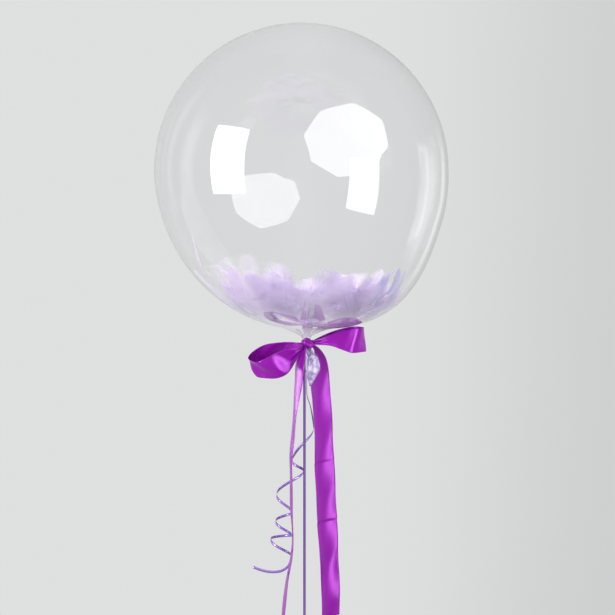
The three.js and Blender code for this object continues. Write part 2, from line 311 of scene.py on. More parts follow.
def small_knot(centre, radii, turns=18, rows=12):
    """A lump of tightly wound strip: an egg with grooves that run round it on the slant."""
    down = np.linspace(0.04, math.pi - 0.04, rows)
    turn = np.linspace(0, 2 * math.pi, turns)
    down, turn = np.meshgrid(down, turn, indexing="ij")
    swell = 1 + GROOVE_DEPTH * np.cos(6 * down + turn)
    return np.stack([centre[0] + radii[0] * swell * np.sin(down) * np.cos(turn),
                     centre[1] + radii[1] * swell * np.sin(down) * np.sin(turn),
                     centre[2] + radii[2] * np.cos(down)], axis=-1)


tether_run, tether_loop = tether_line()
facing_front = np.tile([1.0, 0.0, 0.0], (len(tether_run), 1))
on_edge = np.tile([0.0, 1.0, 0.0], (len(tether_loop), 1))
tether = make_from_grids(
    "tether",
    [ribbon_grid(tether_run, facing_front, CURLING_WIDTH),
     ribbon_grid(tether_loop, on_edge, CURLING_WIDTH * 0.6),
     small_knot((0, 0, KNOT_HEIGHT), (4.0 * MM, 3.2 * MM, 3.8 * MM))],
    CURLING_THICKNESS, CURLING_RIBBON)
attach(tether, BODY)
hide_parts("tether_ribbon")

# %% [markdown]
# The tie itself is the same strip wound tightly round the gathered film. It is a strip laid along a helix,
# and together with the tether it stands in for the tether's solid.

# %% Tie round the neck
WRAP_CENTRE = np.array([4.2, -9.1, 547]) * MM
WRAP_RADII = (6.9 * MM, 8.2 * MM)
WRAP_TURNS = 3.25
WRAP_STEPS = 90
WRAP_RISE = 2.2 * MM


def tie_grid():
    turn = np.linspace(0, WRAP_TURNS * 2 * math.pi, WRAP_STEPS)
    radius = np.linspace(*WRAP_RADII, WRAP_STEPS)
    rise = WRAP_RISE * np.sin(turn * 0.55)
    line = np.stack([radius * np.cos(turn), radius * np.sin(turn), rise], axis=1) + WRAP_CENTRE
    return ribbon_grid(line, np.tile([0.0, 0.0, 1.0], (WRAP_STEPS, 1)), CURLING_WIDTH * 0.8)


tie = make_from_grids("tie_wrap", [tie_grid()], CURLING_THICKNESS, CURLING_RIBBON)
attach(tie, BODY)
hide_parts("tether_ribbon")
print("tie turns:", WRAP_TURNS)

# %% [markdown]
# ## The curled end
#
# Drawing curling ribbon over a scissor blade sets it into a loose spring. The curls of a real
# one are uneven, so it isn't a plain helix: a short list gives the place of each turn's side
# as it swings right and left, and a loop fills the half circles between, behind on the way
# left and in front on the way right.

# %% Curled ribbon
CURL_TOP = [(6, 1.8, 543), (5, 4, 500), (4, 6, 470), (5, 8, 446), (11.5, 12, 426)]
CURL_SIDES = [(18, 22, 385.5), (-23.5, 40, 317.5), (-1.6, 38, 300.5), (-54, 40, 253.5), (-23.5, 40, 219),
              (-56, 40, 203), (-24.5, 40, 174.5), (-65.5, 40, 168.5), (-24.5, 40, 135)]
CURL_END = [(-31, 37, 117), (-44, 35, 107.5), (-64, 33, 105.5), (-84, 31, 109.5), (-99, 30, 115.5)]
CURL_DEEPEST = 18.0       # millimetres that a half turn goes behind or in front, at most
STEPS_A_HALF_TURN = 14
CURL_STEPS = 460
COILED_BELOW = 0.43       # metres: from here down the strip turns from edge on to coiled


def curl_line():
    points = [np.array(p, float) for p in CURL_TOP]
    for i, (start, stop) in enumerate(zip(CURL_SIDES, CURL_SIDES[1:])):
        start, stop = np.array(start, float), np.array(stop, float)
        reach = min(abs(stop[0] - start[0]) * 0.45, CURL_DEEPEST)
        behind = 1 if i % 2 == 0 else -1
        for step in range(STEPS_A_HALF_TURN):
            turn = math.pi * step / STEPS_A_HALF_TURN
            share = np.array([(1 - math.cos(turn)) / 2, turn / math.pi, turn / math.pi])
            point = start + (stop - start) * share
            point[1] += behind * reach * math.sin(turn)
            points.append(point)
    points.append(np.array(CURL_SIDES[-1], float))
    points.extend(np.array(p, float) for p in CURL_END)
    return spline(np.array(points) * MM, CURL_STEPS)


def curl_width_ways(line):
    """Across the strip: up the coil's own axis, square to the line."""
    along = unit(np.gradient(line, axis=0))
    up = np.array([0.15, 0.1, 1.0])
    square = up - along * (along @ up)[:, None]
    edge_on = np.array([0.3, 1.0, 0.0])
    plain = edge_on - along * (along @ edge_on)[:, None]
    coiled = np.clip((COILED_BELOW - line[:, 2]) / 0.05, 0, 1)[:, None]
    return unit(square) * coiled + unit(plain) * (1 - coiled)


curl_path = curl_line()
curl = make_from_grids("curled_end", [ribbon_grid(curl_path, curl_width_ways(curl_path), CURLING_WIDTH)],
                       CURLING_THICKNESS, CURLING_RIBBON)
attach(curl, BODY)
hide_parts("curled_ribbon")
print("curl length:", round(line_length(curl_path), 3))

# %% [markdown]
# ## The stage
#
# The balloon is clear, so what it shows is mostly what stands round it. The middle of a clear
# ball mirrors what is in front of it, and its rim mirrors what is at the sides. So the studio
# sweep is pale before and behind and dimmer at both sides, which draws a soft darker band
# inside the rim and leaves the middle as pale as the wall. The sweep glows by itself, so the
# brightness of each side can be given directly.

# %% Studio sweep
SWEEP_FLOOR = -0.9
SWEEP_RADIUS = 7.0
SWEEP_TOP = 7.5
SWEEP_CORNER = 2.5
SWEEP_SIDE = 0.65         # brightness at the sides
SWEEP_TURNS = 97
SWEEP_POLE = 0.001        # how far from the axis the sweep's first and last rings are
BALLOON_MIDDLE = np.array([-6, 0, 875]) * MM


def glowing_material(name, **values):
    """A material that only glows."""
    material = bpy.data.materials.new(name)
    material.use_nodes = True
    tree = material.node_tree
    tree.nodes.clear()
    glow = add_node(tree, "ShaderNodeEmission", **values)
    return material, tree, glow, add_node(tree, "ShaderNodeOutputMaterial").inputs["Surface"]


def sweep_material():
    material, tree, glow, surface = glowing_material("sweep")
    place = add_node(tree, "ShaderNodeNewGeometry")
    away = add_node(tree, "ShaderNodeVectorMath", operation="NORMALIZE")
    apart = add_node(tree, "ShaderNodeSeparateXYZ")
    tree.links.new(place.outputs["Position"], away.inputs[0])
    tree.links.new(away.outputs["Vector"], apart.inputs["Vector"])
    shade = colour_ramp(tree, map_range(tree, apart.outputs["Y"], -1, 1, 0, 1),
                        [(0.1, (0.70, 0.70, 0.71)), (0.4, (SWEEP_SIDE,) * 3), (0.84, (SWEEP_SIDE,) * 3),
                         (0.93, (0.735, 0.747, 0.745))])
    sideways = map_range(tree, apart.outputs["X"], 0.04, 0.3, 1.0, 0.84, "SMOOTHSTEP")
    tree.links.new(shade, glow.inputs["Color"])
    tree.links.new(sideways, glow.inputs["Strength"])
    tree.links.new(glow.outputs["Emission"], surface)
    return material


def sweep_mesh():
    """A closed round room with a coved floor."""
    corner = np.radians(np.linspace(-90, 0, 12))
    outline = [(SWEEP_POLE, SWEEP_FLOOR)]
    outline += [(SWEEP_RADIUS - SWEEP_CORNER + SWEEP_CORNER * math.cos(a),
                 SWEEP_FLOOR + SWEEP_CORNER + SWEEP_CORNER * math.sin(a)) for a in corner]
    outline += [(SWEEP_RADIUS, SWEEP_TOP - 2), (SWEEP_RADIUS * 0.7, SWEEP_TOP), (SWEEP_POLE, SWEEP_TOP)]
    outline = np.array(outline)
    turn = np.linspace(0, 2 * math.pi, SWEEP_TURNS)
    grid = np.stack([outline[:, None, 0] * np.cos(turn), outline[:, None, 0] * np.sin(turn),
                     np.repeat(outline[:, 1:], SWEEP_TURNS, axis=1)], axis=-1)
    rows, columns = grid.shape[:2]
    faces = [(i * columns + j, i * columns + j + 1, (i + 1) * columns + j + 1, (i + 1) * columns + j)
             for i in range(rows - 1) for j in range(columns - 1)]
    return make_mesh("studio_sweep", grid.reshape(-1, 3), faces, sweep_material())


sweep_mesh()
world = bpy.data.worlds.new("studio")
world.use_nodes = True
world.node_tree.nodes["Background"].inputs["Color"].default_value = (0.6, 0.6, 0.6, 1)
bpy.context.scene.world = world
bpy.context.scene.view_settings.view_transform = "Standard"
print("sweep radius:", SWEEP_RADIUS)

# %% [markdown]
# Two soft boxes, one eight-sided and one upright, give the four bright patches: each is mirrored
# once in the front wall and once, upside down, in the back wall. Two tall ones at the right are
# faded at their edges and give the long pale streak near the rim. A box would also show straight
# through the clear film, so it lets through whatever reaches it without having been mirrored.

# %% Soft boxes
def toward(azimuth, elevation):
    """The way from the balloon to a light: azimuth 0 is the camera's side, 90 is +X."""
    a, e = math.radians(azimuth), math.radians(elevation)
    return np.array([math.sin(a) * math.cos(e), -math.cos(a) * math.cos(e), math.sin(e)])


def faded(tree, brightness):
    """A brightness that falls off to the sweep's own towards the edges, as behind thick cloth."""
    place = add_node(tree, "ShaderNodeUVMap", uv_map="along")
    apart = add_node(tree, "ShaderNodeSeparateXYZ")
    tree.links.new(place.outputs["UV"], apart.inputs["Vector"])
    falls = []
    for axis, solid in (("X", 0.2), ("Y", 0.3)):
        size = maths(tree, "ABSOLUTE", apart.outputs[axis])
        falls.append(map_range(tree, size.outputs["Value"], solid, 1, 1, 0, "SMOOTHSTEP"))
    both = maths(tree, "MULTIPLY", *falls)
    return map_range(tree, both.outputs["Value"], 0, 1, SWEEP_SIDE, brightness)


def mirrored_only(tree, glow):
    """Lets what looks straight through the clear film look through the light as well."""
    path = add_node(tree, "ShaderNodeLightPath")
    turned = maths(tree, "SUBTRACT", path.outputs["Ray Depth"], path.outputs["Transmission Depth"])
    seen = maths(tree, "GREATER_THAN", turned.outputs["Value"])
    seen.inputs[1].default_value = 0.5
    clear = add_node(tree, "ShaderNodeBsdfTransparent")
    either = add_node(tree, "ShaderNodeMixShader")
    tree.links.new(seen.outputs["Value"], either.inputs[0])
    tree.links.new(clear.outputs["BSDF"], either.inputs[1])
    tree.links.new(glow.outputs["Emission"], either.inputs[2])
    return either.outputs["Shader"]


def soft_box(name, azimuth, elevation, away, outline, brightness, roll=0.0, fade=False):
    """A flat light that faces the balloon. Its outline is in metres."""
    way = toward(azimuth, elevation)
    side = unit(np.cross([0, 0, 1], way))
    up = np.cross(way, side)
    lean = math.radians(roll)
    across = side * math.cos(lean) + up * math.sin(lean)
    upright = up * math.cos(lean) - side * math.sin(lean)
    middle = BALLOON_MIDDLE + way * away
    corners = [middle + across * x + upright * y for x, y in outline]
    material, tree, glow, surface = glowing_material(name, Strength=brightness, Color=(1, 1, 1, 1))
    tree.links.new(mirrored_only(tree, glow), surface)
    if fade:
        tree.links.new(faded(tree, brightness), glow.inputs["Strength"])
    shares = np.array(outline) / np.abs(outline).max(axis=0)
    box = make_mesh(name, corners, [tuple(range(len(corners)))], material, smooth=False, uvs=shares)
    box.visible_camera = False


def ring_outline(sides, half_width, half_height, start):
    turns = [start + 2 * math.pi * i / sides for i in range(sides)]
    return [(half_width * math.cos(t), half_height * math.sin(t)) for t in turns]


def oblong(half_width, half_height):
    return [(-half_width, -half_height), (half_width, -half_height),
            (half_width, half_height), (-half_width, half_height)]


RIBBON_LIGHT_AWAY = 1.85
RIBBONS_MIDDLE_X = 0.02


def ribbon_light(name, azimuth, height, wide, tall, watts, receivers):
    """A tall soft light, low down, that the film doesn't mirror."""
    middle = Vector((RIBBONS_MIDDLE_X, 0.0, height))
    lamp_data = bpy.data.lights.new(name, "AREA")
    lamp_data.shape = "RECTANGLE"
    lamp_data.size = wide
    lamp_data.size_y = tall
    lamp_data.energy = watts
    lamp = bpy.data.objects.new(name, lamp_data)
    lamp.location = middle + Vector(toward(azimuth, 0)) * RIBBON_LIGHT_AWAY
    lamp.rotation_euler = (middle - lamp.location).to_track_quat("-Z", "Y").to_euler()
    lamp.visible_camera = False
    bpy.context.collection.objects.link(lamp)
    lit = bpy.data.collections.new("lit_by_" + name)
    for piece in receivers:
        lit.objects.link(piece)
    lamp.light_linking.receiver_collection = lit


soft_box("octagon_light", 34.5, 19.5, 1.55, ring_outline(8, 0.96, 0.66, math.pi / 8), 3.3, roll=8)
soft_box("upright_light", -55.5, 6.5, 2.7, oblong(0.68, 0.97), 4.8, roll=-3)
soft_box("strip_light", 113, -7, 2.4, oblong(0.46, 1.0), 1.25, fade=True)
soft_box("rim_light", 139, -6, 2.6, oblong(0.30, 1.05), 1.0, fade=True)
print("soft boxes placed")

# %% [markdown]
# ## The film
#
# The bubble is a thin clear plastic that has been stretched until it is round above and drawn
# down a little towards its tie below. It could be one surface with a trick shader, but real
# film has two faces and mirrors faintly in both, so it is made as a closed shell with an outer
# and an inner skin.

# %% Film shape
RADIUS = 280 * MM
LOWER_REACH = 302 * MM
TIE = np.array([3, -9, 560]) * MM
FULLNESS = 0.052          # share by which the film is fuller low down at the right
FULLNESS_SPAN = math.radians(70)
SHOULDER = math.radians(168)
FILM_SHELL = 0.35 * MM
SHOULDER_PLEATS = 17
SHOULDER_LEAVE = 22       # millimetres from the round to the shoulder's first handle
NECK_FLARE = 7            # millimetres outwards from the neck to its last handle
NECK_RISE = 5             # and upwards
FILM_ROUND = 216
FILM_ROWS = (110, 28, 90)     # of the round, the shoulder and the gathered end
GATHER_STEPS = 200
GATHER_MIDDLE = [(3, -9, 560), (4, -9, 549), (6, -10, 538), (13, -14, 519), (16, -16, 502),
                 (14, -16, 487), (11, -15, 467)]
GATHER_SIZE = [(9, 9, 0), (5.5, 5.5, 0), (6.6, 6.4, 0), (13.5, 9, 0), (16, 10, 0), (11, 8, 0), (2, 1.6, 0)]


def fuller(down, turn):
    """How much further out than an egg the film reaches: it is fuller low down at the right."""
    from_bottom = math.pi - down
    swell = np.where(from_bottom < FULLNESS_SPAN, np.sin(math.pi * from_bottom / FULLNESS_SPAN) ** 2, 0)
    return 1 + FULLNESS * swell * ((1 + np.cos(turn)) / 2) ** 2


def round_film(down, turn):
    """The round of the bubble. down is measured from the top, turn from +X."""
    height = np.cos(down) * np.where(np.cos(down) < 0, LOWER_REACH, RADIUS)
    width = np.sin(down) * RADIUS
    reach = fuller(down, turn)
    lean = np.maximum(-height, 0) / (BALLOON_MIDDLE[2] - TIE[2])
    return np.stack([BALLOON_MIDDLE[0] + reach * width * np.cos(turn) + lean * (TIE[0] - BALLOON_MIDDLE[0]),
                     BALLOON_MIDDLE[1] + reach * width * np.sin(turn) + lean * (TIE[1] - BALLOON_MIDDLE[1]),
                     BALLOON_MIDDLE[2] + reach * height], axis=-1)


def fold_wave(turn, count, phase):
    """Sharp-crested folds: a wave that is pointed outwards and rounded inwards."""
    return 1 - 2 * np.abs(np.sin(count * turn / 2 + phase))


def gather_place(share):
    """The middle and the half widths of the gathered film. share runs from the tie to the tip."""
    steps = np.arange(GATHER_STEPS)
    at = np.clip(share * (GATHER_STEPS - 1), 0, GATHER_STEPS - 1)
    lines = [spline(np.array(points) * MM, GATHER_STEPS) for points in (GATHER_MIDDLE, GATHER_SIZE)]
    return [np.stack([np.interp(at, steps, line[:, k]) for k in range(3)], axis=-1) for line in lines]


def gathered_film(share, turn):
    """The neck and the crumpled end under the tie."""
    middle, size = gather_place(share)
    loose = np.clip((share - 0.25) / 0.25, 0, 1)
    folds = 0.10 * fold_wave(turn, 9, 0.4) + 0.15 * loose * fold_wave(turn, 5, 2.1 + 4 * share)
    folds = folds + 0.12 * loose * fold_wave(turn, 8, 1.0 - 7 * share) - 0.10 * loose
    crumple = 1 + folds + 0.09 * loose * fold_wave(3 * turn + 31 * share, 1, np.sin(2 * turn))
    return middle + np.stack([size[..., 0] * crumple * np.cos(turn), size[..., 1] * crumple * np.sin(turn),
                              0.9 * MM * loose * np.sin(5 * turn + 20 * share)], axis=-1)


def shoulder_film(share, turn):
    """From the round underside in to the tie, as a Bezier line for each turn, pleated."""
    start = round_film(np.full_like(turn, SHOULDER), turn)
    before = round_film(np.full_like(turn, SHOULDER - 0.02), turn)
    end = gathered_film(np.zeros_like(turn), turn)
    leave = start + unit(start - before) * SHOULDER_LEAVE * MM
    flare = np.stack([np.cos(turn) * NECK_FLARE * MM, np.sin(turn) * NECK_FLARE * MM,
                      np.full_like(turn, NECK_RISE * MM)], axis=-1)
    arrive = end + flare
    t = share[..., None]
    film = (1 - t) ** 3 * start + 3 * t * (1 - t) ** 2 * leave + 3 * t**2 * (1 - t) * arrive + t**3 * end
    pleat = 0.9 * MM * 4 * share**2 * (1 - share) * fold_wave(turn, SHOULDER_PLEATS, 0.3)
    film[..., 2] += pleat
    return film


def film_grid():
    turn = np.linspace(0, 2 * math.pi, FILM_ROUND, endpoint=False)
    down, turn_round = np.meshgrid(np.linspace(0.012, SHOULDER, FILM_ROWS[0]), turn, indexing="ij")
    share, turn_low = np.meshgrid(np.linspace(0, 1, FILM_ROWS[1])[1:], turn, indexing="ij")
    gather, turn_end = np.meshgrid(np.linspace(0, 1, FILM_ROWS[2])[1:], turn, indexing="ij")
    return np.concatenate([round_film(down, turn_round), shoulder_film(share, turn_low),
                           gathered_film(gather, turn_end)])


def shell_faces(rows, columns, inward, first):
    faces = []
    for i in range(rows - 1):
        for j in range(columns):
            k = (j + 1) % columns
            quad = (i * columns + j, (i + 1) * columns + j, (i + 1) * columns + k, i * columns + k)
            faces.append(tuple(first + q for q in (quad[::-1] if inward else quad)))
    for row, flip in ((0, False), (rows - 1, True)):
        ring = tuple(first + row * columns + j for j in range(columns))
        faces.append(ring[::-1] if flip != inward else ring)
    return faces

# %% [markdown]
# The finish is plain clear plastic with a very shallow ripple, which breaks the mirror images a
# little as stretched film does. The shell casts no shadow, because real film dims the light far
# less than the renderer's simple shadows would.

# %% Film finish and shell
def film_material():
    material, tree, shader = new_material("clear_film", Base_Color=(0.975, 0.975, 0.98, 1), Roughness=0.012,
                                          IOR=1.62, Transmission_Weight=1.0)
    ripple = object_noise(tree, Scale=5.0, Detail=1.5, Roughness=0.4)
    add_bump(tree, shader, ripple, 0.06, 0.004)
    return material


outer = film_grid()
rows, columns = outer.shape[:2]
wrapped = np.concatenate([outer[:, -1:], outer, outer[:, :1]], axis=1)
outward = -grid_normals(wrapped)[:, 1:-1]
outward *= np.sign((outward[20] * (outer[20] - BALLOON_MIDDLE)).sum())
inner = outer - outward * FILM_SHELL
film = make_mesh("bubble_film", np.concatenate([outer.reshape(-1, 3), inner.reshape(-1, 3)]),
                 shell_faces(rows, columns, False, 0) + shell_faces(rows, columns, True, rows * columns),
                 film_material())
film.visible_shadow = False
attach(film, BODY)
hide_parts("bubble")
print("film faces:", len(film.data.polygons))

# %% [markdown]
# The end below the tie is many layers of film crushed together, and each layer glints by
# itself. One hollow skin looks empty there, so three pleated sheets are laid inside it, crossed
# like the spokes of a wheel, with flat faces between sharp creases. Light needs a bounce for
# each face of clear plastic, and these are many, so they are partly see-through instead.

# %% Crumpled layers in the tip
LAYER_THICKNESS = 0.25 * MM
LAYER_REACH = 0.84        # share of the tip's half width that a layer takes up
CRUSHED_LAYERS = [(8, 0.0), (65, 0.37), (128, 0.71)]      # turn in degrees, phase


def zigzag(x):
    return 4 * np.abs(x - np.floor(x + 0.5)) - 1


def crushed_layer(turn, phase, rows=70, columns=37):
    """One sheet across the tip: pleated across its width and crushed along its length."""
    share, across = np.meshgrid(np.linspace(0.2, 0.95, rows), np.linspace(-1, 1, columns), indexing="ij")
    middle, size = gather_place(share)
    c, s = math.cos(math.radians(turn)), math.sin(math.radians(turn))
    room = np.sqrt(1 - 0.9 * across**2)
    pleat = 0.42 * room * zigzag(1.6 * across + 1.1 * share + phase)
    pleat = pleat + 0.16 * room * zigzag(7 * share + 1.3 * across + 2 * phase)
    x = size[..., 0] * (LAYER_REACH * across * c - pleat * s)
    y = size[..., 1] * (LAYER_REACH * across * s + pleat * c)
    z = 1.1 * MM * zigzag(5 * share - 1.9 * across + phase)
    return middle + np.stack([x, y, z], axis=-1)


def crushed_film_material():
    """Film so crushed that it is milky. Its colour is painted light: lavender for a painted reflection of the
    ribbons' colour, dark blotches for painted shade in its creases and pale ones for painted glints.
    """
    material, tree, shader = new_material("crushed_film", Roughness=0.12, IOR=1.7, Specular_IOR_Level=0.9,
                                          Alpha=0.24)
    wrinkle_and_painted_shade = object_noise(tree, Scale=110.0, Detail=2.0)
    # Painted light: the dark end of this ramp is painted shade in the creases, the pale end painted glints,
    # and the lavender a painted reflection of the ribbons.
    shade = colour_ramp(tree, wrinkle_and_painted_shade, [(0.43, (0.26, 0.17, 0.50)), (0.57, (0.84, 0.79, 0.95))])
    tree.links.new(shade, shader.inputs["Base Color"])
    add_bump(tree, shader, wrinkle_and_painted_shade, 0.35, 0.001)
    return material


tip_layers = make_from_grids("tip_layers", [crushed_layer(*layer) for layer in CRUSHED_LAYERS],
                             LAYER_THICKNESS, crushed_film_material(), smooth=False)
tip_layers.visible_shadow = False
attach(tip_layers, BODY)
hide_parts("bubble")
print("layers in the tip:", len(CRUSHED_LAYERS))

# %% [markdown]
# ## Satin
#
# Satin is woven so that long threads lie side by side on its face, along the ribbon. Light
# that meets a thread fans out square to it, so satin shines in clean bands that cross the
# ribbon wherever it bends. An even gloss can't do that, so the gloss is anisotropic and takes
# its direction from the ribbon's own uv map. The threads are a shallow bump and a slight
# change of shade.

# %% Satin finish
def satin_material():
    material, tree, shader = new_material("satin", Metallic=0.25, Roughness=0.27, IOR=1.5,
                                          Specular_IOR_Level=0.35, Anisotropic=0.65,
                                          Anisotropic_Rotation=0.25)
    threads_way = add_node(tree, "ShaderNodeTangent", direction_type="UV_MAP", uv_map="along")
    tree.links.new(threads_way.outputs["Tangent"], shader.inputs["Tangent"])
    threads = ribbon_noise(tree, (30, 60, 1), Detail=3.0)
    shade = colour_ramp(tree, threads,
                        [(0.25, (0.20, 0.001, 0.27)), (0.5, (0.23, 0.001, 0.31)), (0.8, (0.28, 0.002, 0.36))])
    tree.links.new(shade, shader.inputs["Base Color"])
    add_bump(tree, shader, threads, 0.12, 0.0004)
    return material


SATIN = satin_material()
print("made", SATIN.name)

# %% [markdown]
# ## The bow
#
# The bow is one length of ribbon: two loops and two tails that all come out of one knot. Each
# stretch is spanned between its two edges, because the edges are what the eye follows. Near
# the knot the ribbon is squeezed, so its width is taken up in folds that run out of the knot
# and fade, and along its free length it is bowed a little across its width.

# %% Edges of the loops and tails
LEFT_LOOP = (
    [(-2, -17, 549), (-41, 3, 549), (-74, 9, 545), (-98, 1, 531), (-108, -17, 518),
     (-90, -39, 513), (-69, -47, 522), (-42, -41, 534), (-2, -24, 546)],
    [(-2, -16, 543), (-36, 15, 512), (-64, 27, 501), (-79, 20, 496), (-92, 1, 486.5),
     (-77, -21, 481), (-54, -27, 481), (-31, -24, 492), (-2, -22, 540)],
)
RIGHT_LOOP = (
    [(14, -23, 551), (41, -38, 561), (68, -44, 570), (94, -43, 576), (110, -31, 577),
     (112, -10, 578), (92, 7, 579), (60, 5, 572), (30, -8, 560), (12, -16, 551)],
    [(14, -23, 545), (49, -42, 543), (70, -49, 536), (88, -45, 530), (106, -29, 530.5),
     (117, -10, 532), (98, 6, 532), (66, 5, 540), (36, -6, 545), (12, -16, 545)],
)
LEFT_TAIL = (
    [(3, -26, 543), (-1, -42, 509), (-4, -42, 470), (-10, -41, 439), (-16, -40, 405),
     (-19.5, -38, 362), (-23, -36, 322), (-22, -36, 231), (-22, -36, 151), (-31.5, -34, 91), (-39, -32, 12)],
    [(1, -20, 545), (-16, 2, 515), (-18.5, 6, 470), (-20, 8, 439), (-22.5, 9, 400),
     (-25, 11, 362), (-28, 13, 322), (-26, 14, 231), (-24, 14, 151), (-36.5, 14, 91), (-44, 13, 24)],
)
RIGHT_TAIL = (
    [(13, -22, 543), (19, -9, 530), (16, 0, 510), (12, 1, 485), (12, 0, 462), (15.5, -1, 438),
     (19, -2, 362), (20, -2, 300), (24.5, -2, 205), (28, -2, 148), (31.5, -2, 105), (33, -2, 12)],
    [(16, -19, 547), (29, -4, 537), (40, 16, 520), (46, 28, 497), (49, 33, 470), (51, 34, 438),
     (55, 33, 362), (58, 32, 300), (62.5, 32, 205), (65, 32, 148), (67, 32, 105), (68, 32, 24)],
)
SATIN_THICKNESS = 0.45 * MM
EDGE_SHARE = 0.35         # of a wave's height that is left at the ribbon's firm edges
CREASE_DROP = 3.0         # millimetres in which a crease falls back
CREASE_SLANT = 6          # millimetres from edge to edge
KNOT_CENTRE = np.array([7, -22, 548]) * MM
KNOT_REACH = 8            # millimetres from the knot's middle, within which folds are full
FOLD_REACH = 26           # millimetres beyond that, in which they fade


def strip_grid(edges, rows, columns, folds, fold_depth, arch, waves=(), creases=()):
    """A stretch of satin between two edges.

    It has folds near the knot, and arch gives how far it is bowed across its width at its
    start and its end. Waves are given as height, length, slant across the ribbon and start,
    creases as place, height and reach, all in millimetres along the ribbon. A crease rises
    slowly and falls back at once, as a ribbon does that was folded flat.
    """
    upper, lower = (spline(np.array(edge) * MM, rows) for edge in edges)
    across = np.linspace(0, 1, columns)
    grid = upper[:, None] * (1 - across)[None, :, None] + lower[:, None] * across[None, :, None]
    normals = grid_normals(grid)
    middle = grid.mean(axis=1)
    far = np.linalg.norm(middle - KNOT_CENTRE, axis=1) / MM
    near_knot = np.exp(-((far - KNOT_REACH) / FOLD_REACH).clip(0) ** 2)[:, None]
    run = np.concatenate([[0], np.cumsum(np.linalg.norm(np.diff(middle, axis=0), axis=1))]) / MM
    inner = 1 - (2 * across - 1) ** 2
    firm = EDGE_SHARE + (1 - EDGE_SHARE) * inner
    lift = np.linspace(*arch, rows)[:, None] * inner
    for height, length, slant, start in waves:
        wave = np.sin(2 * math.pi * (run[:, None] + slant * (across - 0.5) - start) / length)
        lift = lift + height * wave * firm
    for place, height, reach in creases:
        off = run[:, None] + CREASE_SLANT * (across - 0.5) - place
        rise = np.clip(1 + off / reach, 0, 1) * np.clip(1 - off / CREASE_DROP, 0, 1)
        lift = lift + height * rise * firm
    lift = lift * (1 - near_knot) + near_knot * fold_depth * np.cos(across * folds * 2 * math.pi + 0.6)
    return grid + normals * (lift * MM)[..., None]


def knot_grid(centre, radii, slant, ridges=5, rows=28, columns=49):
    """The knot: a short strap pulled tight on the slant, with creases along it."""
    down, turn = np.meshgrid(np.linspace(0.05, math.pi - 0.05, rows),
                             np.linspace(0, 2 * math.pi, columns), indexing="ij")
    crease = 1 + 0.20 * fold_wave(turn, ridges, 0.6 * np.sin(down)) + 0.08 * np.cos(11 * turn + 2 * down)
    x = -radii[0] * np.cos(down)
    y = radii[1] * np.sin(down) ** 0.8 * np.cos(turn) * crease
    z = radii[2] * np.sin(down) ** 0.8 * np.sin(turn) * crease
    s, c = math.sin(slant), math.cos(slant)
    return np.stack([c * x + s * z, y, -s * x + c * z], axis=-1) + centre


def band_grid(centre, inner, outer, height, rows=73, columns=33):
    """The satin drawn round the neck: a band with folds that run round with it."""
    turn, round_ = np.meshgrid(np.linspace(0, 2 * math.pi, rows),
                               np.linspace(0, 2 * math.pi, columns), indexing="ij")
    crease = 1 + 0.10 * np.cos(7 * round_ + 1.5 * np.sin(turn)) + 0.05 * np.cos(3 * turn)
    radius = (inner + outer) / 2 - (outer - inner) / 2 * np.cos(round_) * crease
    ring = np.stack([radius * np.cos(turn), radius * np.sin(turn), height / 2 * np.sin(round_)], axis=-1)
    return ring + centre

# %% [markdown]
# The light bands of the satin follow its waves and creases. These are listed one by one, because the edges of
# each stretch are given too and a cloth simulation would move them.

# %% Bow
bow = make_from_grids(
    "satin_bow",
    [strip_grid(LEFT_LOOP, 170, 29, 2.5, 2.0, (1.2, -0.9), waves=[(3.8, 65, -34, 5)]),
     strip_grid(RIGHT_LOOP, 170, 29, 2.5, 2.0, (-0.8, -0.8), waves=[(1.4, 64, 16, 34)]),
     strip_grid(LEFT_TAIL, 260, 21, 2.0, 1.2, (-4.5, -1.2), waves=[(0.9, 105, 30, 20)]),
     strip_grid(RIGHT_TAIL, 300, 21, 2.5, 1.4, (-1.5, -6.5), waves=[(2.6, 111, 31, 144)],
                creases=[(239, 2.2, 40), (353, 3.4, 44)]),
     knot_grid(KNOT_CENTRE, np.array([11.5, 8.5, 8.0]) * MM, math.radians(35)),
     band_grid(np.array([5, -9.6, 547]) * MM, 9.2 * MM, 11.4 * MM, 13 * MM)],
    SATIN_THICKNESS, SATIN)
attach(bow, BODY)
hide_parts("satin_ribbon")
print("bow faces:", len(bow.data.polygons))

# %% [markdown]
# The hanging ribbons shine sideways, because their threads hang straight down. So they get
# tall soft lights of their own, low down: one at each side, and one behind the left shoulder
# for the tail that shows its narrow side. Light linking keeps them off the film, as black
# flags on stands would in a studio.

# %% Light for the ribbons
ribbon_light("right_ribbon_light", 57, 0.34, 0.55, 1.5, 22, [bow, curl, tip_layers])
ribbon_light("left_ribbon_light", -58, 0.34, 0.45, 1.1, 20, [bow, curl, tip_layers])
ribbon_light("back_ribbon_light", -128, 0.53, 0.35, 0.4, 5, [bow])
print("ribbon lights placed")

# %% [markdown]
# ## Feathers
#
# The feathers are soft lilac plumes, put in before the bubble was filled. They are light and
# cling to the film, so most of them lie flat against its curved underside, vanes towards the
# wall. A plume is a curved quill with a row of fine barbs on each side, dense enough to close
# into a vane and ragged at the edge. Hair or instances would be quicker to make, but they
# would be lost on export, so each barb is a narrow tapering strip of its own.

# %% One plume
BARB_HALF_WIDTHS = (0.50, 0.50, 0.40, 0.10)       # millimetres, from the quill to the tip
BARB_PLACES = (0.0, 0.3, 0.65, 1.0)
BARB_REACH = (0.72, 1.08)                         # shortest and longest share of the vane's width
BARB_PAIRS = 86
QUILL_RINGS = 22
QUILL_RADIUS = 0.62                               # millimetres at the root
QUILL_TAPER = 0.45                                # millimetres lost on the way to the tip
SWAY = 0.22                                       # largest sideways bend, as a share of the length


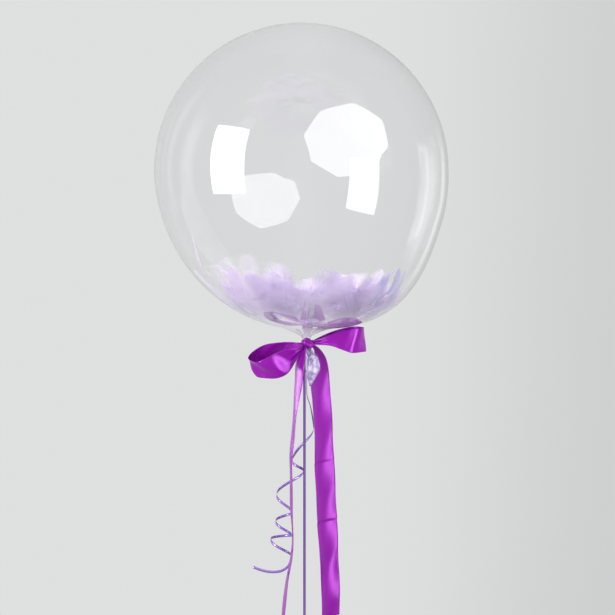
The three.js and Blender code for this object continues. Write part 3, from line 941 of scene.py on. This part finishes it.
def plume(rng, base, way, up, length, barb, curl):
    """A plume that leaves base along way, its vanes square to up. Gives barbs and quill."""
    up = unit(np.array(up, float))
    way = np.array(way, float)
    way = unit(way - up * (way @ up))
    side = np.cross(way, up)
    share = np.linspace(0, 1, BARB_PAIRS)[:, None]
    sway = rng.uniform(-SWAY, SWAY)
    line = base + length * (way * share + side * sway * share**2 + up * curl * share**2)
    along = unit(np.gradient(line, axis=0))

    barbs, barb_faces = [], []
    for k in range(2, BARB_PAIRS):
        fullness = max(math.sin(math.pi * (0.1 + 0.89 * share[k, 0])), 0.0) ** 0.75
        for hand in (-1, 1):
            reach = barb * fullness * rng.uniform(*BARB_REACH)
            out = unit(side * hand + along[k] * rng.uniform(0.7, 1.0) + up * rng.uniform(-0.05, 0.12))
            bend = (along[k] * rng.uniform(0.1, 0.4) + up * rng.uniform(-0.05, 0.25)) * reach
            flat = unit(np.cross(out, up + side * rng.uniform(-0.2, 0.2)))
            first = len(barbs)
            for t, half in zip(BARB_PLACES, BARB_HALF_WIDTHS):
                place = line[k] + out * reach * t + bend * t * t
                barbs += [place + flat * half * MM, place - flat * half * MM]
            barb_faces += [(first + 2 * i, first + 2 * i + 1, first + 2 * i + 3, first + 2 * i + 2)
                           for i in range(len(BARB_PLACES) - 1)]

    quill, quill_faces = [], []
    for ring, k in enumerate(np.linspace(0, BARB_PAIRS - 1, QUILL_RINGS).astype(int)):
        radius = (QUILL_RADIUS - QUILL_TAPER * share[k, 0]) * MM
        for turn in (0.0, 2 * math.pi / 3, 4 * math.pi / 3):
            quill.append(line[k] + radius * (side * math.cos(turn) + up * math.sin(turn)))
        if ring:
            a = 3 * (ring - 1)
            quill_faces += [(a + i, a + (i + 1) % 3, a + 3 + (i + 1) % 3, a + 3 + i) for i in range(3)]
    return (np.array(barbs), barb_faces), (np.array(quill), quill_faces)

# %% [markdown]
# A plume is laid on the wall by a turn and a height. A stiff quill would cut through the curved
# film, so every point is then held clear of it, in place of a collision simulation.

# %% Keeping plumes inside the film
def film_share(points):
    """How far out points lie, seen from the bubble's middle: 1 is on the film."""
    ways = points - BALLOON_MIDDLE
    lean = np.maximum(-ways[:, 2], 0) / (BALLOON_MIDDLE[2] - TIE[2])
    x = ways[:, 0] - lean * (TIE[0] - BALLOON_MIDDLE[0])
    y = ways[:, 1] - lean * (TIE[1] - BALLOON_MIDDLE[1])
    out = np.hypot(x, y) / RADIUS
    up = ways[:, 2] / np.where(ways[:, 2] < 0, LOWER_REACH, RADIUS)
    return np.hypot(out, up) / fuller(np.arctan2(out, up), np.arctan2(y, x))


def kept_inside(points, clearance):
    """Points that stand clear of the film, pushed back towards the bubble's middle if need be."""
    ways = points - BALLOON_MIDDLE
    far = np.maximum(np.linalg.norm(ways, axis=1), 1e-9)
    allowed = far / np.maximum(film_share(points), 1e-9) - clearance
    return BALLOON_MIDDLE + ways * np.minimum(1.0, allowed / far)[:, None]


def wall_place(turn, height):
    """The point of the film at a height, and the way inward there."""
    down = math.acos((height - BALLOON_MIDDLE[2]) / LOWER_REACH)
    place, above, beside = (round_film(np.array(down + d), np.array(turn + t))
                            for d, t in ((0, 0), (-0.01, 0), (0, 0.01)))
    return place, unit(np.cross(above - place, beside - place))


def wall_plume(rng, turn, height, heading, length, barb, off_wall, curl=0.0):
    """A plume on the wall. heading 0 goes straight up the wall, 90 degrees goes round it."""
    place, inward = wall_place(turn, height)
    round_way = np.array([-math.sin(turn), math.cos(turn), 0.0])
    uphill = np.cross(round_way, inward)
    uphill *= math.copysign(1.0, uphill[2])
    a = math.radians(heading)
    way = uphill * math.cos(a) + round_way * math.sin(a)
    parts = plume(rng, place + inward * off_wall, way, inward, length, barb, curl)
    return [(kept_inside(points, off_wall), faces) for points, faces in parts]

# %% [markdown]
# The feather's finish is matt and lets some light through, and its shade drifts from plume to
# plume as dyed down does. The quill is a shade darker, so the plumes can be told apart.

# %% Feather finish
def feather_material(name, low, high, alpha):
    material, tree, shader = new_material(name, Roughness=0.8, Specular_IOR_Level=0.2, Alpha=alpha,
                                          Sheen_Weight=0.2, Sheen_Roughness=0.5)
    shade = colour_ramp(tree, object_noise(tree, Scale=16.0, Detail=2.0), [(0.32, low), (0.68, high)])
    tree.links.new(shade, shader.inputs["Base Color"])
    return material


QUILL = feather_material("quill", (0.34, 0.24, 0.55), (0.44, 0.33, 0.62), alpha=0.8)


def make_feathers(name, plumes, material):
    """One piece of many plumes: barbs in their own finish, quills in the darker one."""
    vertices, faces, finish = [], [], []
    count = 0
    for parts in plumes:
        for index, (points, quads) in enumerate(parts):
            vertices.append(points)
            faces += [tuple(i + count for i in quad) for quad in quads]
            finish += [index] * len(quads)
            count += len(points)
    piece = make_mesh(name, np.concatenate(vertices), faces, material)
    piece.data.materials.append(QUILL)
    piece.data.polygons.foreach_set("material_index", finish)
    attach(piece, BODY)
    print(name, "plumes:", len(plumes), "faces:", len(faces))

# %% [markdown]
# The heap is built as it was filled. A first layer of plumes clings to the film all round the
# underside, every way up, a second lies loose on top of it with its tips at about one height,
# and a third stands 22 to 46 millimetres off the film. The middle of the bowl stays open.

# %% Feather heap
FLOOR = BALLOON_MIDDLE[2] - LOWER_REACH
BARB_LENGTHS = (24, 34)
# count, lowest root, spread of roots, its power, heading, length, off the wall, curl
HEAP_LAYERS = [(58, 5, 52, 1.1, 95, (60, 86), (1.5, 5), (0, 0.05)),
               (64, 6, 42, 1.3, 75, (64, 94), (5, 24), (0, 0.25)),
               (46, 5, 30, 1.2, 60, (62, 92), (22, 46), (0.05, 0.35))]
rng = np.random.default_rng(11)
heap = []
for count, lowest, spread, power, heading, lengths, offs, curls in HEAP_LAYERS:
    for _ in range(count):
        heap.append(wall_plume(rng, rng.uniform(0, 2 * math.pi),
                               FLOOR + (lowest + spread * rng.uniform(0, 1) ** power) * MM,
                               rng.uniform(-heading, heading), rng.uniform(*lengths) * MM,
                               rng.uniform(*BARB_LENGTHS) * MM, rng.uniform(*offs) * MM,
                               rng.uniform(*curls)))
make_feathers("feather_heap", heap,
              feather_material("lilac_feather", (0.74, 0.59, 0.93), (0.87, 0.77, 0.98), alpha=0.5))

# %% [markdown]
# The few plumes that show by themselves are placed one by one: a long rosy one up the left wall and shorter
# ones in front, wide pale ones behind, and a bluer tuft at the front right.

# %% Plumes that show by themselves
def tuft(places):
    """Plumes as turn, height in metres, heading, and length, barb and gap in millimetres."""
    return [wall_plume(rng, math.radians(turn), height, heading, length * MM, barb * MM, off * MM)
            for turn, height, heading, length, barb, off in places]


make_feathers("rose_plumes", tuft([(204, 0.668, 36, 100, 8, 4), (231, 0.622, 14, 84, 26, 5),
                                   (246, 0.614, -18, 86, 27, 8), (220, 0.630, 26, 78, 22, 10),
                                   (-57, 0.612, 8, 62, 18, 8)]),
              feather_material("rose_feather", (0.72, 0.55, 0.84), (0.84, 0.72, 0.90), alpha=0.5))
make_feathers("pale_plumes", tuft([(128, 0.640, 24, 96, 36, 4), (112, 0.636, -10, 92, 36, 7),
                                   (142, 0.632, 10, 92, 36, 5), (100, 0.632, 16, 84, 32, 7),
                                   (121, 0.650, 2, 90, 38, 3), (74, 0.636, -22, 66, 20, 6)]),
              feather_material("pale_feather", (0.74, 0.64, 0.87), (0.84, 0.77, 0.93), alpha=0.18))
make_feathers("blue_plumes", tuft([(-26, 0.628, -34, 92, 15, 4), (-34, 0.622, -22, 86, 17, 7),
                                   (-20, 0.632, -38, 78, 14, 9), (-42, 0.626, -14, 72, 15, 6),
                                   (-30, 0.640, -10, 64, 13, 12)]),
              feather_material("blue_feather", (0.46, 0.42, 0.76), (0.60, 0.56, 0.86), alpha=0.5))
